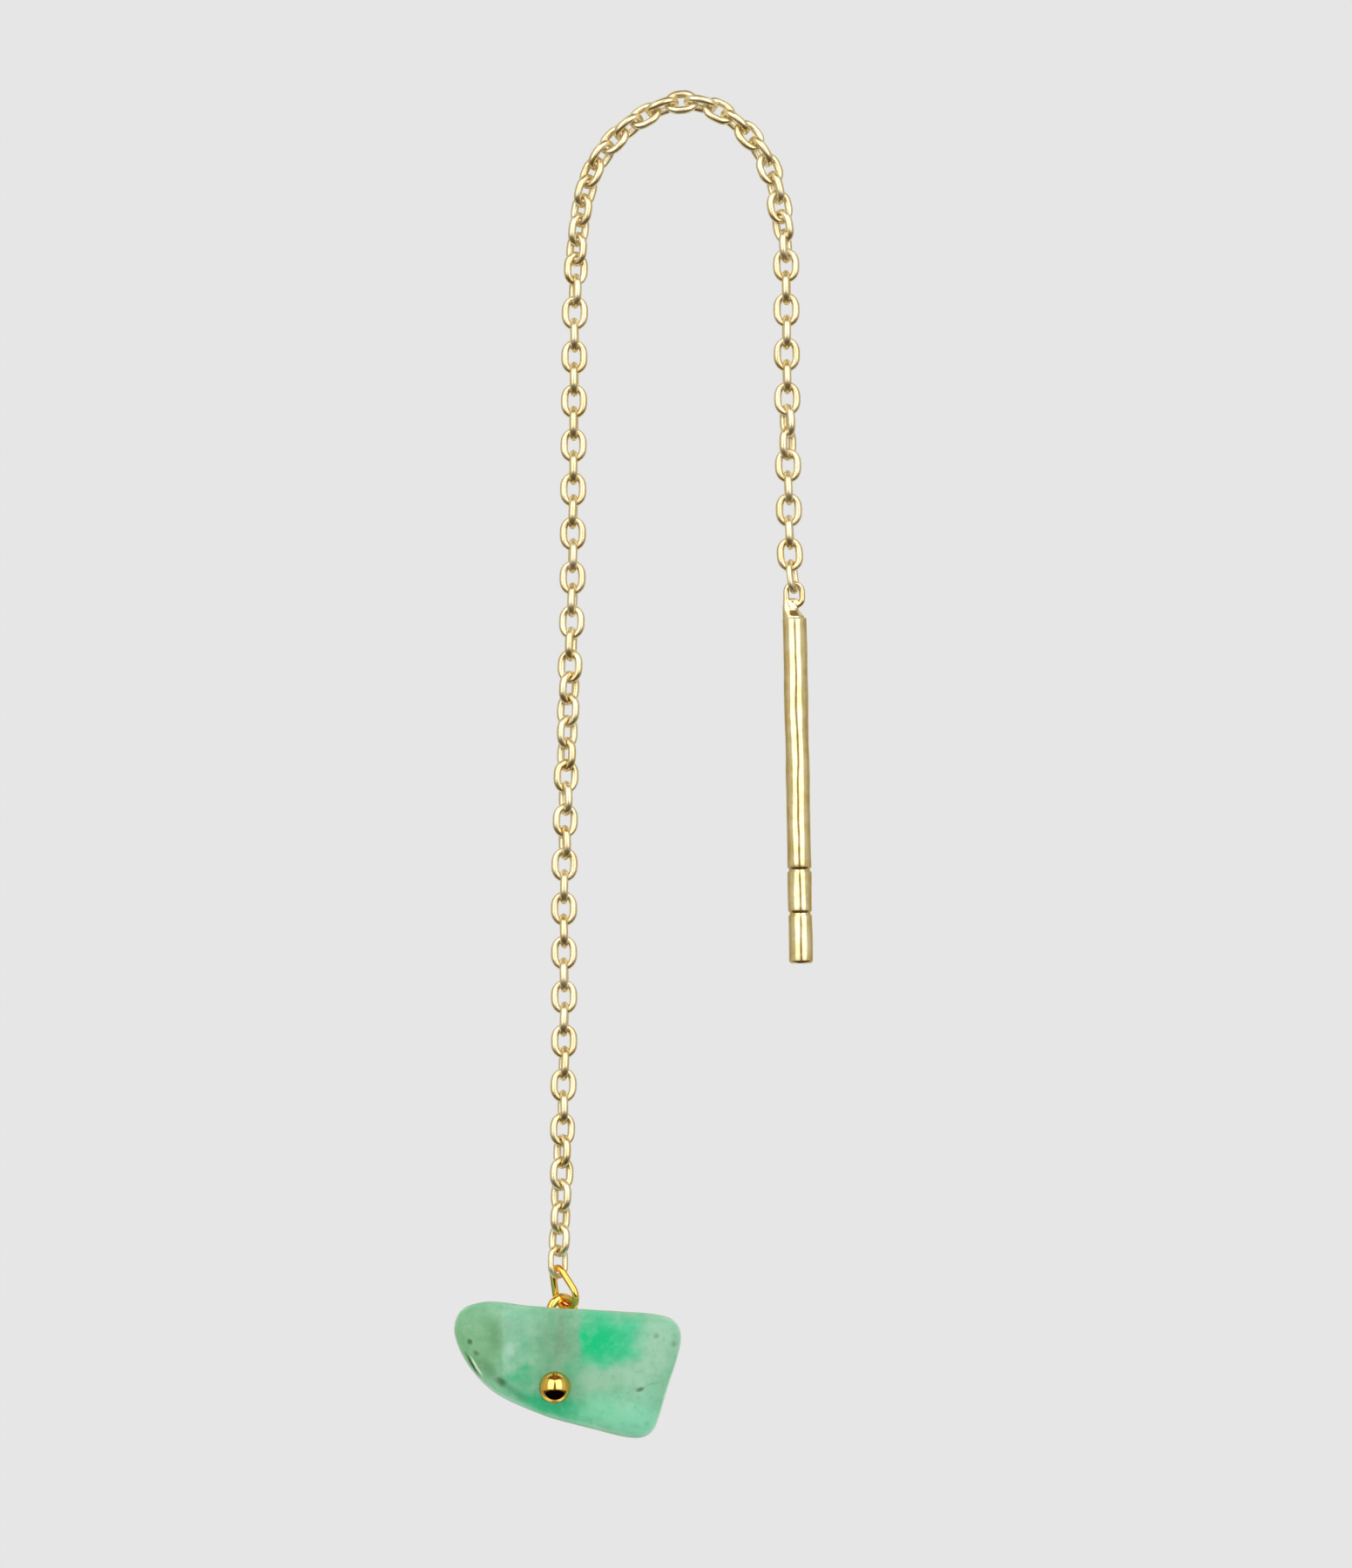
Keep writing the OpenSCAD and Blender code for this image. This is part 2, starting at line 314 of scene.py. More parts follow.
# %% Black card
CARD_SIDES = (12 * MM, 10.8 * MM)
CARD_MIDDLE = Vector((-5, -7.6, -52)) * MM

material, tree = new_material("black card")
add_surface(tree, "BsdfDiffuse", {"Color": linear("#0c0805"), "Roughness": 1})
card_shape = bmesh.new()
bmesh.ops.create_grid(card_shape, x_segments=1, y_segments=1, size=0.5)
card_place = Matrix.Translation(CARD_MIDDLE) @ Matrix.Diagonal((*CARD_SIDES, 1, 1))
bmesh.ops.transform(card_shape, matrix=card_place, verts=card_shape.verts)
card = new_object("black card", card_shape, material)
for kind in ("camera", "diffuse", "transmission", "shadow"):
    setattr(card, "visible_" + kind, False)
print("Black card of", [round(1000 * side, 1) for side in CARD_SIDES], "mm")

# %% [markdown]
# ## Gold
#
# The chain and the bar are brass plated in a pale champagne gold, the pin and the
# drop link in a richer yellow gold. Plating is polished, so the roughness is low, and
# a fine noise varies it as tiny scratches and handling do. A slight ripple along the
# wire bends what it mirrors, because drawn metal is never quite even. Each gold is a
# metallic shader at the default index of refraction. The yellow one also has a thin
# clear lacquer, which keeps its lights sharp.

# %% Gold materials
def polished_gold(name, pale, deep, rim, roughness, mottle_mm, ripple_mm, ripple_high, lacquer=0):
    """Plated metal. Colour and gloss vary in soft mottles, and a slight ripple bends reflections."""
    material, tree = new_material(name)
    place = add_node(tree, "TexCoord").outputs["Object"]
    mottle = add_node(tree, "TexNoise", {"Vector": place, "Scale": 1 / (mottle_mm * MM), "Detail": 2})
    tone = add_node(tree, "ValToRGB", {0: mottle.outputs[0]}, stops=[(0.35, deep), (0.6, pale)])
    scratches = add_node(
        tree, "MapRange", {0: mottle.outputs[0], 3: roughness * 0.7, 4: roughness * 1.5}
    )
    drawn = add_node(tree, "Mapping", {"Vector": place, "Scale": (1, 1, 0.4)}).outputs[0]
    ripple = add_node(tree, "TexNoise", {"Vector": drawn, "Scale": 1 / (ripple_mm * MM), "Detail": 1})
    bump = add_node(tree, "Bump", {
        "Height": ripple.outputs[0], "Strength": 0.5, "Distance": ripple_high * MM,
    })
    add_surface(tree, "BsdfPrincipled", {
        "Base Color": tone.outputs[0], "Metallic": 1, "Roughness": scratches.outputs[0],
        "Specular Tint": linear(rim), "Normal": bump.outputs[0],
        "Coat Weight": lacquer, "Coat Roughness": 0.05, "Coat IOR": 2,
    })
    print(name, "made")
    return material


chain_gold = polished_gold(
    "champagne gold plating on links", pale="#fdf3d5", deep="#f4e3b6", rim="#ddcfa5",
    roughness=0.31, mottle_mm=0.8, ripple_mm=0.9, ripple_high=0.008,
)
bar_gold = polished_gold(
    "champagne gold plating on the bar", pale="#f3e6c0", deep="#e5d19c", rim="#c8b787",
    roughness=0.2, mottle_mm=0.5, ripple_mm=1.1, ripple_high=0.19,
)
yellow_gold = polished_gold(
    "yellow gold plating", pale="#ffd873", deep="#f2b846", rim="#e0ae48",
    roughness=0.09, mottle_mm=0.6, ripple_mm=1.1, ripple_high=0.02, lacquer=0.3,
)

# %% [markdown]
# ## Bending wire
#
# Links, rings, the pin and the bar's eye are all bent from round wire. A helper lays
# a ring of vertices across the start of a path and extrudes it from point to point,
# turning it as little as it can, just as wire bends without twisting. A closed path
# ends by bridging the last ring to the first.

# %% Wire helpers
def arc(middle, radius, start, end, steps):
    """Points on an arc in the XZ plane. Angles are in degrees from +X towards +Z."""
    angles = [math.radians(start + (end - start) * k / steps) for k in range(steps + 1)]
    return [
        Vector((middle[0] + radius * math.cos(a), 0, middle[1] + radius * math.sin(a)))
        for a in angles
    ]


def frames_along(points, closed):
    """A place and direction for the wire's ring at each point, with no twist between them."""
    count = len(points)
    frames = []
    turn = None
    for k, point in enumerate(points):
        before = points[k - 1] if closed or k else point
        after = points[(k + 1) % count] if closed or k < count - 1 else point
        way = (after - before).normalized()
        if turn is None:
            turn = Vector((0, 0, 1)).rotation_difference(way)
        else:
            turn = last_way.rotation_difference(way) @ turn
        last_way = way
        frames.append(Matrix.Translation(point) @ turn.to_matrix().to_4x4())
    return frames


def extrude_ring(shape, ring, step):
    """Extrudes a ring of edges and moves the new ring by a matrix."""
    made = bmesh.ops.extrude_edge_only(shape, edges=ring)["geom"]
    corners = [part for part in made if isinstance(part, bmesh.types.BMVert)]
    bmesh.ops.transform(shape, matrix=step, verts=corners)
    fresh = set(corners)
    return [part for part in made if isinstance(part, bmesh.types.BMEdge) and set(part.verts) <= fresh]


def sweep(shape, ring, frames):
    """Extrudes a ring from the first frame to each of the others and returns the last ring."""
    for here, there in zip(frames, frames[1:]):
        ring = extrude_ring(shape, ring, there @ here.inverted())
    return ring


def edges_at(corners):
    """The edges at a ring's corners, each of them once."""
    return list(dict.fromkeys(edge for vert in corners for edge in vert.link_edges))


def wire_loop(shape, points, wire_d, sides, flats=None):
    """A closed wire in millimetres along points. Flats widen it in and out of its plane."""
    frames = frames_along(points, True)
    if flats:
        frames = [frame @ Matrix.Diagonal((a, b, 1, 1)) for frame, (a, b) in zip(frames, flats)]
    ring = bmesh.ops.create_circle(shape, segments=sides, radius=wire_d / 2, matrix=frames[0])["verts"]
    first = edges_at(ring)
    last = sweep(shape, first, frames)
    bmesh.ops.bridge_loops(shape, edges=first + last)


def rounded_end(shape, ring, way, length):
    """Closes a wire's open end with a small rounded edge, which narrows in two steps."""
    middle = sum((vert.co for edge in ring for vert in edge.verts), Vector()) / (2 * len(ring))
    for grow, push in ((0.93, 0.6), (0.75, 0.4)):
        step = (
            Matrix.Translation(middle + way * push * length)
            @ Matrix.Scale(grow, 4)
            @ Matrix.Translation(-middle)
        )
        ring = extrude_ring(shape, ring, step)
        middle += way * push * length
    bmesh.ops.holes_fill(shape, edges=ring, sides=0)


# %% Turning a finished shape into a piece
def put_in_order(parts, key):
    """Sorts a shape's corners or faces, which the operators list in another order each run."""
    ranks = {part: rank for rank, part in enumerate(sorted(parts, key=key))}
    parts.sort(key=ranks.get)
    parts.index_update()


def new_piece(name, shape, material, sharp=180):
    """Makes an object of a shape in millimetres, with its place in its mesh."""
    bmesh.ops.scale(shape, vec=(MM, MM, MM), verts=shape.verts)
    bmesh.ops.recalc_face_normals(shape, faces=shape.faces)
    put_in_order(shape.verts, lambda vert: vert.co[:])
    put_in_order(shape.faces, lambda face: sorted(vert.index for vert in face.verts))
    piece = new_object(name, shape, material)
    mesh = piece.data
    mesh.shade_smooth()
    if sharp < 180:
        mesh.set_sharp_from_angle(angle=math.radians(sharp))
    print(name, "has", sum(len(face.vertices) - 2 for face in mesh.polygons), "triangles")
    return piece


# %% [markdown]
# ## The cable chain
#
# A cable chain is plain oval links, each turned a quarter turn from its neighbours.
# A hanging chain also twists slowly along its length, so in one place every second
# link faces the viewer, and further along it is the other half. Its two strands are
# pulled straight by what hangs on them, while over the arch it is slack and its links
# sit closer. The route is the same list of round numbers as in the CAD source, and
# the links are spaced evenly along each of the three stretches. Two links are
# modelled and copied to their places: a plain one, of wire that is pressed flatter and
# wider at its sides, and a rounder one for the two ends, where the bar and the drop
# link turn.

# %% Route of the chain
LINK_LENGTH = 1.33
LINK_WIDTH = 1.0
LINK_WIRE = 0.245
END_LINK_WIRE = 0.23
# Links in the drop's strand, the arch and the bar's strand, and the heights between them
LINKS = (45, 22, 14)
LEFT_JOIN = -6.32
RIGHT_JOIN = -6.17
ROUTE_STEPS = 40
# Where the drop link and the bar hang, and how the chain's end links are turned
DROP_TOP = Vector((-4.93, 0, -44.49))
BAR_TOP = Vector((4.02, 0, -18.53))
DROP_END_TURN = 46
BAR_END_TURN = 74
BAR_END_LEAN = 7
ROUTE = [
    (-4.88, -43.2), (-4.8, -41), (-4.75, -38.5), (-4.7, -36), (-4.7, -33), (-4.7, -30), (-4.65, -27),
    (-4.6, -24.5), (-4.5, -22), (-4.4, -19.5), (-4.37, -17), (-4.35, -14), (-4.32, -11), (-4.3, -8.5),
    (-4.25, -6.2), (-4.2, -5.3), (-4.1, -4.5), (-3.95, -3.65), (-3.72, -2.85), (-3.35, -2.15),
    (-2.85, -1.5), (-2.25, -0.95), (-1.55, -0.48), (-0.8, -0.13), (0, 0), (0.8, -0.18), (1.5, -0.55),
    (2.1, -1.05), (2.6, -1.65), (3, -2.35), (3.27, -3.1), (3.45, -3.9), (3.6, -4.75), (3.7, -5.7),
    (3.72, -7.5), (3.74, -10), (3.77, -12.5), (3.8, -14.7), (3.83, -16), (3.86, -17.26),
]

half_reach = (LINK_LENGTH - END_LINK_WIRE) / 2
bar_link_turn = Matrix.Rotation(math.radians(-BAR_END_LEAN), 4, "Y")
first_middle = DROP_TOP + Vector((0, 0, half_reach))
last_middle = BAR_TOP + bar_link_turn @ Vector((0, 0, half_reach))
stations = [first_middle] + [Vector((x, 0, z)) for x, z in ROUTE] + [last_middle]


def smooth_route(points, steps):
    """A smooth curve through the points, as many short straight pieces."""
    curve = []
    for k in range(len(points) - 1):
        a, b = points[max(k - 1, 0)], points[k]
        c, d = points[k + 1], points[min(k + 2, len(points) - 1)]
        for s in range(steps):
            t = s / steps
            bend = (2 * a - 5 * b + 4 * c - d) * t ** 2 + (3 * b - a - 3 * c + d) * t ** 3
            curve.append(b + ((c - a) * t + bend) / 2)
    return curve + [points[-1]]


def spaced(curve, count):
    """Points at equal distances along a curve, both ends among them, and the distance."""
    lengths = [0]
    for a, b in zip(curve, curve[1:]):
        lengths.append(lengths[-1] + (b - a).length)
    pitch = lengths[-1] / (count - 1)
    found = []
    k = 0
    for n in range(count):
        while k < len(curve) - 2 and lengths[k + 1] < n * pitch:
            k += 1
        share = (n * pitch - lengths[k]) / (lengths[k + 1] - lengths[k])
        found.append(curve[k].lerp(curve[k + 1], share))
    return found, pitch


curve = smooth_route(stations, ROUTE_STEPS)
top = max(range(len(curve)), key=lambda k: curve[k].z)
left_end = max(k for k in range(top) if curve[k].z < LEFT_JOIN)
right_end = min(k for k in range(top, len(curve)) if curve[k].z < RIGHT_JOIN)
middles = []
joins = (0, left_end, right_end, len(curve) - 1)
for first, last, count in zip(joins, joins[1:], LINKS):
    found, pitch = spaced(curve[first:last + 1], count + 1)
    middles += found[:-1]
    print(count, "links at a pitch of", round(pitch, 4), "mm")
middles.append(curve[-1])

# %% Two links and their copies
LINK_STEP = 15
LINK_SIDES = 12
# How far single links roll and tip out of line, in degrees either way
LOOSE_ROLL = 4
LOOSE_TIP = 2
# Twist of the chain in degrees at link numbers, counted from the stone's end
TWIST = [
    (0, 46), (2, 47), (5, 30), (8, 5), (11, 0), (17, 0), (21, 20), (25, 48), (29, 78), (32, 90),
    (43, 90), (46, 135), (51, 138), (56, 150), (64, 157), (67, 92), (73, 90), (76, 2), (80, 0),
    (81, -16),
]


def twist_at(number):
    """The twist at a link, eased between the chart's entries."""
    for (n0, a0), (n1, a1) in zip(TWIST, TWIST[1:]):
        if n0 <= number <= n1:
            t = (number - n0) / (n1 - n0)
            return a0 + (a1 - a0) * t * t * (3 - 2 * t)


def link_mesh(name, wire_d, half_straight, side_wide=1, end_deep=1, side_deep=1):
    """An oval link. Its sides are widened in its plane, its ends and sides across it."""
    end_r = (LINK_WIDTH - wire_d * side_wide) / 2
    end_h = (LINK_LENGTH - wire_d) / 2 - half_straight
    half_turn = range(0, 181, LINK_STEP)
    path = [
        Vector((end_r * math.cos(a), 0, end_h * math.sin(a) + side * half_straight))
        for side, start in ((1, 0), (-1, 180))
        for a in [math.radians(start + degrees) for degrees in half_turn]
    ]
    # One where the wire runs along the link, nothing at its ends
    sideness = [math.cos(math.radians(degrees)) ** 2 for degrees in half_turn] * 2
    flats = [
        (1 + (side_wide - 1) * side, end_deep + (side_deep - end_deep) * side)
        for side in sideness
    ]
    shape = bmesh.new()
    wire_loop(shape, path, wire_d, LINK_SIDES, flats)
    return new_mesh(name, shape)


plain_link = link_mesh(
    "link", LINK_WIRE, half_straight=0.1, side_wide=1.17, end_deep=1.1, side_deep=1.24
)
# The end links are rounder, because the bar and the drop link turn on them
end_link = link_mesh("end link", END_LINK_WIRE, half_straight=0.17)
last_number = len(middles) - 1
loose = random.Random(11)
chain_shape = bmesh.new()
for number, middle in enumerate(middles):
    if number == 0:
        turn = Matrix.Rotation(math.radians(DROP_END_TURN), 4, "Z")
    elif number == last_number:
        turn = bar_link_turn @ Matrix.Rotation(math.radians(BAR_END_TURN), 4, "Z")
    else:
        way = (middles[number + 1] - middles[number - 1]).normalized()
        along = Vector((0, 0, 1)).rotation_difference(way).to_matrix().to_4x4()
        roll = 90 * number + twist_at(number) + loose.uniform(-LOOSE_ROLL, LOOSE_ROLL)
        tip = Matrix.Rotation(math.radians(loose.uniform(-LOOSE_TIP, LOOSE_TIP)), 4, "X")
        turn = along @ Matrix.Rotation(math.radians(roll), 4, "Z") @ tip
    before = len(chain_shape.verts)
    chain_shape.from_mesh(end_link if number in (0, last_number) else plain_link)
    chain_shape.verts.ensure_lookup_table()
    place = Matrix.Translation(middle) @ turn
    bmesh.ops.transform(chain_shape, matrix=place, verts=chain_shape.verts[before:])
bpy.data.meshes.remove(plain_link)
bpy.data.meshes.remove(end_link)
chain_links = new_piece("chain_links", chain_shape, chain_gold)
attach(chain_links, "root")
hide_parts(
    "chain_drop_low", "chain_drop_high", "chain_arch", "chain_bar_side",
    "end_link_drop", "end_link_bar",
)

# %% [markdown]
# ## The drop link
#
# The stone hangs from the chain by a teardrop of yellow gold wire. Its narrow bend
# sits on the last chain link and its wide bend carries the pin's eye.

# %% Drop link
DROP_AT = Vector((-4.9, 0.02, -44.48))
DROP_WIRE = 0.26
DROP_LOW_R = 0.56
DROP_HIGH_R = 0.32
DROP_LENGTH = 0.74
DROP_LEAN = 20
DROP_TURN = 50
DROP_SIDES = 20

leg_angle = math.degrees(math.asin((DROP_LOW_R - DROP_HIGH_R) / DROP_LENGTH))
drop_path = (
    arc((0, 0), DROP_HIGH_R, leg_angle, 180 - leg_angle, 16)
    + arc((0, -DROP_LENGTH), DROP_LOW_R, 180 - leg_angle, 360 + leg_angle, 28)
)
drop_shape = bmesh.new()
wire_loop(drop_shape, drop_path, DROP_WIRE, DROP_SIDES)
drop_place = (
    Matrix.Translation(DROP_AT)
    @ Matrix.Rotation(math.radians(-DROP_LEAN), 4, "Y")
    @ Matrix.Rotation(math.radians(-DROP_TURN), 4, "Z")
)
bmesh.ops.transform(drop_shape, matrix=drop_place, verts=drop_shape.verts)
drop_ring = new_piece("drop_ring", drop_shape, yellow_gold)
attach(drop_ring, "link")
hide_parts("drop_link")

# %% [markdown]
# ## The head pin
#
# A head pin is a wire with a ball melted onto its end. It goes through the drilled
# stone from the front, turns up behind it, and its tail is rolled into an eye. The
# ball is spun as a half circle that flows into the wire, and the wire is then swept
# on from the open ring that the spin leaves.

# %% Path of the pin
PIN_WIRE = 0.34
PIN_TILT = 5
BALL_R = 0.6
BALL_MIDDLE = -1.76
# The half circle of the ball, in degrees from its front to where the neck begins
BALL_REACH = 150
BALL_STEP = 5
# Radius of the neck behind the ball, and where it and the plain wire start past the ball
NECK_R = 0.235
NECK_START = 0.05
WIRE_START = 0.12
SHANK_START = -1.0
SHANK_STEP = 0.27
BEND_START = 1.16
BEND_R = 0.36
BEND_STEPS = 14
TAIL_START = 0.4
TAIL_LENGTH = 1.99
TAIL_LEAN = 8
EYE_R = 0.5
EYE_ARC = (-65, 232)
EYE_TURN = 32
PIN_SIDES = 24
PIN_EDGE = 0.05

# The ball is the pin's leftmost, foremost and lowest part, so its box gives the pin's place
pin_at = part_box("head_pin")[0] / MM + Vector((BALL_R, BALL_R - BALL_MIDDLE, BALL_R))
print("Pin at", [round(v, 3) for v in pin_at], "mm")
# In the pin's own frame the shank runs to the back along Y and the tail rises along Z
bend = [
    Vector((0, BEND_START + BEND_R * math.sin(a), BEND_R * (1 - math.cos(a))))
    for a in [math.radians((90 + TAIL_LEAN) * k / BEND_STEPS) for k in range(BEND_STEPS + 1)]
]
lean = Matrix.Rotation(math.radians(TAIL_LEAN), 4, "X")
shank = [Vector((0, SHANK_START + SHANK_STEP * k, 0)) for k in range(8)]
tail_foot = bend[-1]
tail_start = tail_foot + lean @ Vector((0, 0, TAIL_START))
eye_middle = tail_foot + lean @ Vector((0, 0, TAIL_LENGTH + EYE_R))
# The tail swings to one side just below the eye and runs round it to its cut end
lead_in = [Vector((0, 0, z)) for z in (-1.6, -1.3, -1.05, -0.85)]
lead_in += [Vector((x, 0, z)) for x, z in ((0.01, -0.72), (0.05, -0.6), (0.13, -0.505))]
round_eye = arc((0, 0), EYE_R, *EYE_ARC, 40)
in_eye = Matrix.Rotation(math.radians(EYE_TURN), 4, "Z")
eye_points = [eye_middle + lean @ (in_eye @ point) for point in lead_in + round_eye]
pin_path = shank + bend + [tail_start] + eye_points
print("Pin path of", len(pin_path), "points")

# %% Ball, shank, bend and eye
pin_shape = bmesh.new()
profile = [
    Vector((BALL_R * math.sin(a), -BALL_R * math.cos(a), 0)) + Vector((0, BALL_MIDDLE, 0))
    for a in [math.radians(degrees) for degrees in range(0, BALL_REACH + 1, BALL_STEP)]
]
ball_end = profile[-1].y
profile += [
    Vector((NECK_R, ball_end + NECK_START, 0)),
    Vector((PIN_WIRE / 2, ball_end + WIRE_START, 0)),
    Vector((PIN_WIRE / 2, SHANK_START, 0)),
]
corners = [pin_shape.verts.new(point) for point in profile]
line = [pin_shape.edges.new(pair) for pair in zip(corners, corners[1:])]
bmesh.ops.spin(
    pin_shape, geom=corners + line, cent=(0, 0, 0), axis=(0, 1, 0), angle=2 * math.pi,
    steps=PIN_SIDES, use_merge=True,
)
bmesh.ops.remove_doubles(pin_shape, verts=pin_shape.verts, dist=SAME_PLACE)
open_ring = [edge for edge in pin_shape.edges if edge.is_boundary]
pin_frames = frames_along(pin_path, False)
last_ring = sweep(pin_shape, open_ring, pin_frames)
rounded_end(pin_shape, last_ring, (pin_path[-1] - pin_path[-2]).normalized(), PIN_EDGE)
pin_place = Matrix.Translation(pin_at) @ Matrix.Rotation(math.radians(PIN_TILT), 4, "Y")
bmesh.ops.transform(pin_shape, matrix=pin_place, verts=pin_shape.verts)
ball_pin = new_piece("ball_pin", pin_shape, yellow_gold)
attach(ball_pin, "pendant")
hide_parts("head_pin")

# %% [markdown]
# ## The threader bar
#
# The bar is round wire, so half its outline is spun about its axis. Two shallow
# grooves near the lower end hold a stopper. A drawn and hand-polished bar is never
# quite true, and a very slight wobble of its skin is what makes the long highlights
# waver.

# %% Outline of the bar
BAR_R = 0.46
BAR_LENGTH = 13.1
BAR_LEAN = 1.1
BAR_EDGE = 0.05
BAR_END_R = 0.12
BAR_SIDES = 64
WALL_STEP = 0.25
GROOVES = (9.55, 11.2)
GROOVE_HALF = 0.07
GROOVE_FLOOR_HALF = 0.025
GROOVE_DEPTH = 0.06
GROOVE_EDGE = 0.012
# Room from a groove's middle to the next plain wall
PAST_GROOVE = GROOVE_HALF + 0.05
NECK_HEIGHT = 0.74


def wall(top, end):
    """The bar's plain wall between two depths, in short steps so that it can wobble."""
    steps = max(3, round((end - top) / WALL_STEP))
    return [(BAR_R, -top - (end - top) * k / steps) for k in range(steps + 1)]


def groove(depth):
    """A groove round the bar, its edges a little rounded."""
    return [
        (BAR_R - GROOVE_EDGE, -depth + GROOVE_HALF + GROOVE_EDGE),
        (BAR_R - GROOVE_DEPTH, -depth + GROOVE_FLOOR_HALF),
        (BAR_R - GROOVE_DEPTH, -depth - GROOVE_FLOOR_HALF),
        (BAR_R - GROOVE_EDGE, -depth - GROOVE_HALF - GROOVE_EDGE),
    ]


outline = [(0, 0), (BAR_R - BAR_EDGE, 0), (BAR_R - 0.015, -0.015)]
outline += wall(BAR_EDGE, GROOVES[0] - PAST_GROOVE) + groove(GROOVES[0])
outline += wall(GROOVES[0] + PAST_GROOVE, GROOVES[1] - PAST_GROOVE) + groove(GROOVES[1])
outline += wall(GROOVES[1] + PAST_GROOVE, BAR_LENGTH - BAR_END_R)
outline += [
    (BAR_R - BAR_END_R * (1 - math.cos(a)), -BAR_LENGTH + BAR_END_R * (1 - math.sin(a)))
    for a in [math.radians(22.5 * k) for k in range(1, 5)]
]
outline += [(0.2, -BAR_LENGTH), (0, -BAR_LENGTH)]
print("Bar outline of", len(outline), "points")

# %% Spin the bar
WOBBLE = 0.055
FINE_WOBBLE = 0.018
# The middles of the two end faces stay where they are
WOBBLE_FROM = 0.3

bar_shape = bmesh.new()
corners = [bar_shape.verts.new((r, 0, z - NECK_HEIGHT)) for r, z in outline]
line = [bar_shape.edges.new(pair) for pair in zip(corners, corners[1:])]
bmesh.ops.spin(
    bar_shape, geom=corners + line, cent=(0, 0, 0), axis=(0, 0, 1), angle=2 * math.pi,
    steps=BAR_SIDES, use_merge=True,
)
bmesh.ops.remove_doubles(bar_shape, verts=bar_shape.verts, dist=SAME_PLACE)
for vert in bar_shape.verts:
    if math.hypot(vert.co.x, vert.co.y) > WOBBLE_FROM:
        spot = Vector((vert.co.x * 1.1, vert.co.y * 1.1, vert.co.z * 0.62))
        squeeze = 1 - WOBBLE * (0.3 + noise.noise(spot)) - FINE_WOBBLE * noise.noise(spot * 2.1)
        vert.co.x *= squeeze
        vert.co.y *= squeeze

# %% [markdown]
# The bar's eye is a long loop soldered to a filed neck. The neck is a short loft of
# flattened rings that leans to the left, where the bar's edge runs straight up into
# the loop. Loop and neck are fused by a voxel remesh and smoothed, which leaves the
# soft fillets that solder leaves.

# %% Loop and neck
LOOP_R = 0.3
LOOP_WIRE = 0.23
LOOP_STRAIGHT = 0.24
LOOP_DROP = 0.03
LOOP_SIDES = 16
LOOP_VOXEL = 0.022
LOOP_SMOOTHING = 5
SOLDER_AT = (-0.05, 0, -0.16)
SOLDER_RADII = (0.24, 0.11, 0.16)
# Height above the shoulder, middle, half width and half depth of the neck
NECK = [
    (-0.06, -0.03, 0.42, 0.41),
    (0.06, -0.05, 0.4, 0.38),
    (0.16, -0.09, 0.36, 0.31),
    (0.28, -0.14, 0.31, 0.23),
    (0.4, -0.17, 0.28, 0.18),
    (0.54, -0.23, 0.2, 0.15),
    (0.68, -0.29, 0.13, 0.12),
]

loop_shape = bmesh.new()
loop_path = (
    arc((0, LOOP_STRAIGHT), LOOP_R, 0, 180, 20)
    + arc((0, 0), LOOP_R, 180, 360, 20)
)
wire_loop(loop_shape, loop_path, LOOP_WIRE, LOOP_SIDES)
neck_frames = [
    Matrix.Translation((middle, 0, height - NECK_HEIGHT)) @ Matrix.Diagonal((width, depth, 1, 1))
    for height, middle, width, depth in NECK
]
neck_ring = bmesh.ops.create_circle(
    loop_shape, cap_ends=True, segments=24, radius=1, matrix=neck_frames[0]
)["verts"]
neck_top = sweep(loop_shape, edges_at(neck_ring), neck_frames)
bmesh.ops.holes_fill(loop_shape, edges=neck_top, sides=0)
solder = Matrix.Translation(SOLDER_AT) @ Matrix.Diagonal((*SOLDER_RADII, 1))
bmesh.ops.create_uvsphere(loop_shape, u_segments=20, v_segments=12, radius=1, matrix=solder)


def fused(shape, voxel, smoothing):
    """Remeshes a shape in millimetres into one closed skin and smooths it."""
    bmesh.ops.recalc_face_normals(shape, faces=shape.faces)
    holder = new_object("fusing", shape)
    remesh = holder.modifiers.new("remesh", "REMESH")
    remesh.mode = "VOXEL"
    remesh.voxel_size = voxel
    result = bmesh.new()
    result.from_object(holder, bpy.context.evaluated_depsgraph_get())
    bpy.data.meshes.remove(holder.data)
    for _ in range(smoothing):
        bmesh.ops.smooth_vert(
            result, verts=result.verts, factor=0.5,
            use_axis_x=True, use_axis_y=True, use_axis_z=True,
        )
    return result


loop_mesh = new_mesh("loop", fused(loop_shape, LOOP_VOXEL, LOOP_SMOOTHING))
bar_shape.from_mesh(loop_mesh)
bpy.data.meshes.remove(loop_mesh)
bar_place = (
    Matrix.Translation(BAR_TOP - Vector((0, 0, LOOP_DROP + LOOP_STRAIGHT)))
    @ Matrix.Rotation(math.radians(-BAR_LEAN), 4, "Y")
)
bmesh.ops.transform(bar_shape, matrix=bar_place, verts=bar_shape.verts)
gold_bar = new_piece("gold_bar", bar_shape, bar_gold, sharp=50)
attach(gold_bar, "bar")
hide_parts("threader_bar")

# %% [markdown]
# ## The stone
#
# The chip is tumbled: its faces are nearly flat but never quite, and every edge is
# worn round. The CAD solid has the right outline and the true bore, but it is made
# of small facets. A merged copy of it is remeshed in fine voxels and smoothed, then
# pressed in a little here and there by a slow noise.

# %% Stone shape
STONE_VOXEL = 0.06
STONE_SMOOTHING = 12
# How deep each noise presses the skin, and how quickly it changes
PRESSES = [(0.015, 0.7), (0.0075, 1.9)]

